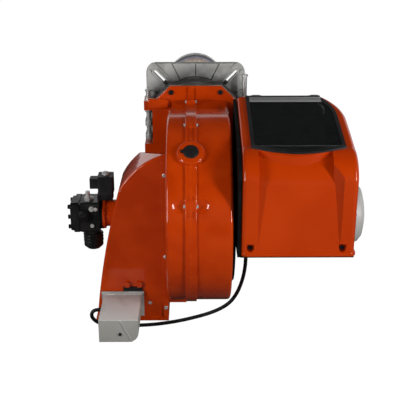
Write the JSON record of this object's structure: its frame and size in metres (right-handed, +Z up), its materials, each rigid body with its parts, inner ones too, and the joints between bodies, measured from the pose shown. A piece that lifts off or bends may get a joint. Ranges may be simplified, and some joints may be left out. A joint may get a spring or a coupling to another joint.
{
  "type": "oil burner",
  "caption": "Light-oil burner with blast tube, hinged fan casing, motor, oil pump, air damper and control panel for a boiler front.",
  "frame": {"origin": "centre of the mounting flange on its boiler face", "axes": "+Y along the blast tube into the boiler, +Z up, +X to the right seen from behind"},
  "size_m": [0.785, 0.908, 0.6564],
  "materials": {
    "orange_paint": "gloss enamel on cast aluminium and sheet",
    "cast_aluminium": "as cast, matt grey",
    "dark_steel": "dark grey enamel",
    "tube_steel": "rolled stainless sheet",
    "hinge_chrome": "polished plating",
    "zinc_screws": "zinc plated",
    "black_metal": "black semi-matt paint",
    "black_plastic": "moulded, fine grain",
    "servo_grey": "moulded light grey",
    "motor_grey": "light grey enamel on iron",
    "smoked_window": "smoked clear sheet",
    "black_rubber": "matt",
    "brass": "turned",
    "ceramic": "glazed ceramic",
    "seal_rope": "woven fibre board",
    "cable_black": "smooth sheath"
  },
  "bodies": {
    "flange": {"mounting_flange": "cast_aluminium", "boiler_gasket": "seal_rope", "blast_tube": "tube_steel", "tube_end_ring": "tube_steel", "head_collar": "dark_steel", "head_spider": "dark_steel"},
    "head_carriage": {"oil_lance": "brass", "nozzles": "brass", "diffuser_disc": "tube_steel", "ignition_electrodes": "ceramic"},
    "left_pin": {"left_hinge_pin": "hinge_chrome", "left_pin_clip": "zinc_screws"},
    "right_pin": {"right_hinge_pin": "hinge_chrome", "right_pin_clip": "zinc_screws"},
    "rotor": {"motor_shaft": "hinge_chrome", "fan_wheel": "tube_steel", "cooling_fan": "black_plastic", "pump_coupling": "black_rubber"},
    "damper_left": {"damper_blade_left": "tube_steel"},
    "damper_right": {"damper_blade_right": "tube_steel"},
    "damper_bar": {"damper_link": "zinc_screws"},
    "lid": {"window_frame": "black_plastic", "window_lid": "smoked_window"},
    "sight_plug": {"sight_cap": "black_rubber"},
    "knob": {"selector_knob": "black_plastic"},
    "button": {"reset_button": "black_plastic"},
    "burner_body": {"left_body_shell": "orange_paint", "right_body_shell": "orange_paint", "door_seal": "seal_rope", "plate_bolts": "zinc_screws", "shell_screws": "zinc_screws", "sight_glass": "smoked_window", "intake_box": "orange_paint", "intake_screws": "zinc_screws", "inlet_cone": "tube_steel", "servo_housing": "servo_grey", "servo_screw": "zinc_screws", "servo_base": "servo_grey", "servo_bracket": "black_metal", "pump_spacer": "orange_paint", "pump_body": "black_metal", "pump_cover": "black_metal", "pump_cover_bolts": "black_metal", "pump_fittings": "zinc_screws", "pump_filter_cap": "black_metal", "valve_block": "black_metal", "solenoid_coil": "black_plastic", "valve_stem": "zinc_screws", "motor_plate": "black_metal", "motor_housing": "motor_grey", "motor_bearings": "tube_steel", "motor_cowl": "motor_grey", "panel_hood": "orange_paint", "panel_screws": "zinc_screws", "lid_hinges": "black_plastic", "panel_chassis": "black_metal", "controller": "black_plastic", "ignition_transformer": "black_plastic", "cable_glands": "black_plastic", "servo_cable": "cable_black"}
  },
  "joints": [
    {"name": "body_swing", "type": "hinge", "parent": "flange", "child": "burner_body", "pos_m": [-0.134, -0.04, 0], "axis": [0, 0, 1], "range_deg": [-45, 0]},
    {"name": "left_pin_lift", "type": "slide", "parent": "flange", "child": "left_pin", "axis": [0, 0, 1], "range_m": [0, 0.18]},
    {"name": "right_pin_lift", "type": "slide", "parent": "flange", "child": "right_pin", "axis": [0, 0, 1], "range_m": [0, 0.22]},
    {"name": "head_adjust", "type": "slide", "parent": "flange", "child": "head_carriage", "axis": [0, 1, 0], "range_m": [-0.01, 0.01]},
    {"name": "shaft_spin", "type": "hinge", "parent": "burner_body", "child": "rotor", "pos_m": [0, -0.25, -0.221], "axis": [1, 0, 0], "continuous": true},
    {"name": "damper_left_turn", "type": "hinge", "parent": "burner_body", "child": "damper_left", "pos_m": [-0.215, -0.25, -0.452], "axis": [0, 1, 0], "range_deg": [0, 90]},
    {"name": "damper_right_turn", "type": "hinge", "parent": "burner_body", "child": "damper_right", "pos_m": [-0.125, -0.25, -0.452], "axis": [0, 1, 0], "range_deg": [0, 90]},
    {"name": "damper_bar_turn", "type": "hinge", "parent": "damper_left", "child": "damper_bar", "pos_m": [-0.22773, -0.321, -0.43927], "axis": [0, 1, 0], "range_deg": [-90, 0]},
    {"name": "lid_open", "type": "hinge", "parent": "burner_body", "child": "lid", "pos_m": [0.2275, -0.173, 0.078], "axis": [1, 0, 0], "range_deg": [-95, 0]},
    {"name": "sight_cap_pull", "type": "slide", "parent": "burner_body", "child": "sight_plug", "axis": [0, -0.6361, 0.7716], "range_m": [0, 0.03]},
    {"name": "knob_turn", "type": "hinge", "parent": "burner_body", "child": "knob", "pos_m": [0.285, -0.3, 0.012], "axis": [0, 0, 1], "range_deg": [-60, 60]},
    {"name": "button_press", "type": "slide", "parent": "burner_body", "child": "button", "axis": [0, 0, -1], "range_m": [0, 0.003], "stiffness_N_per_m": 300}
  ],
  "couplings": [
    {"joint": "damper_right_turn", "follows": "damper_left_turn", "ratio": 1},
    {"joint": "damper_bar_turn", "follows": "damper_left_turn", "ratio": -1}
  ]
}
